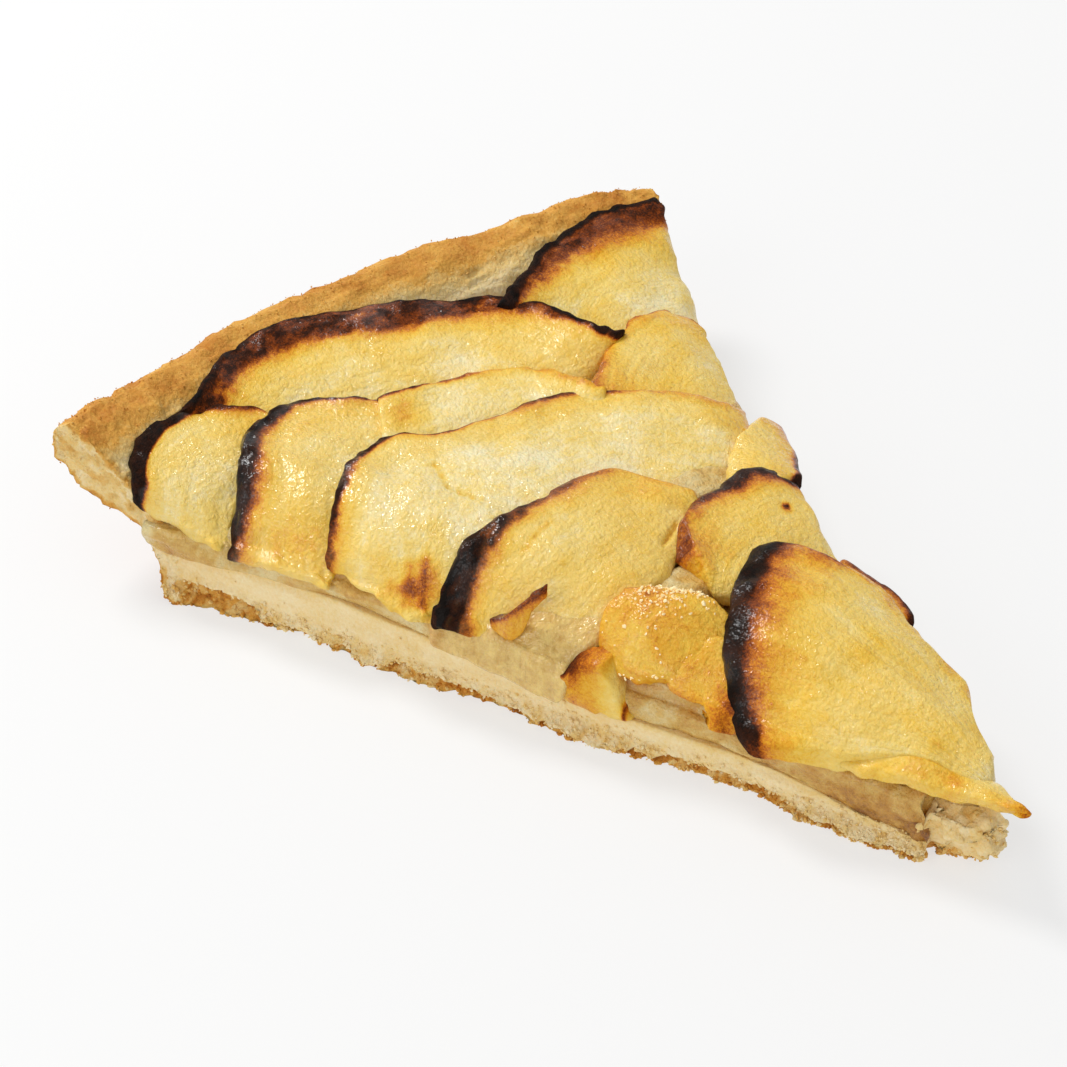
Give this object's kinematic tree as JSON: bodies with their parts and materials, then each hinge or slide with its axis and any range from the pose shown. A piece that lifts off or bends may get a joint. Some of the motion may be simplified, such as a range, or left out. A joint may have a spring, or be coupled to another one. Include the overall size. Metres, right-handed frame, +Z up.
{
  "type": "apple tart slice",
  "caption": "Wedge of open apple tart: pastry crust with a rolled rim, soft filling and overlapping baked slices scorched along their edges.",
  "frame": {"origin": "centre of the bounding box's underside, on the surface the slice rests on", "axes": "+X along the slice towards its point, +Z up, +Y from the near cut to the far cut"},
  "size_m": [0.1399, 0.1076, 0.0228],
  "materials": {
    "pastry": "dry baked pastry, golden brown outside and cream at the cut",
    "soft_filling": "moist translucent cooked fruit",
    "baked_fruit": "moist baked fruit, scorched along the outer edge"
  },
  "bodies": {
    "root": {"crust": "pastry", "crust_tip": "pastry", "filling": "soft_filling", "slice_back_corner": "baked_fruit", "slice_along_rim": "baked_fruit", "slice_far_round": "baked_fruit", "slice_left_end": "baked_fruit", "slice_left_scorched": "baked_fruit", "slice_thin_back": "baked_fruit", "slice_far_edge": "baked_fruit", "slice_broad": "baked_fruit", "chunk_under_centre": "soft_filling", "slice_centre": "baked_fruit", "sliver_glazed": "baked_fruit", "slice_near_small": "baked_fruit", "chunk_yellow_side": "baked_fruit", "chunk_yellow": "baked_fruit", "slice_far_small": "baked_fruit", "slice_under_tip": "baked_fruit", "slice_tucked": "baked_fruit", "slice_tip": "baked_fruit"}
  },
  "joints": []
}
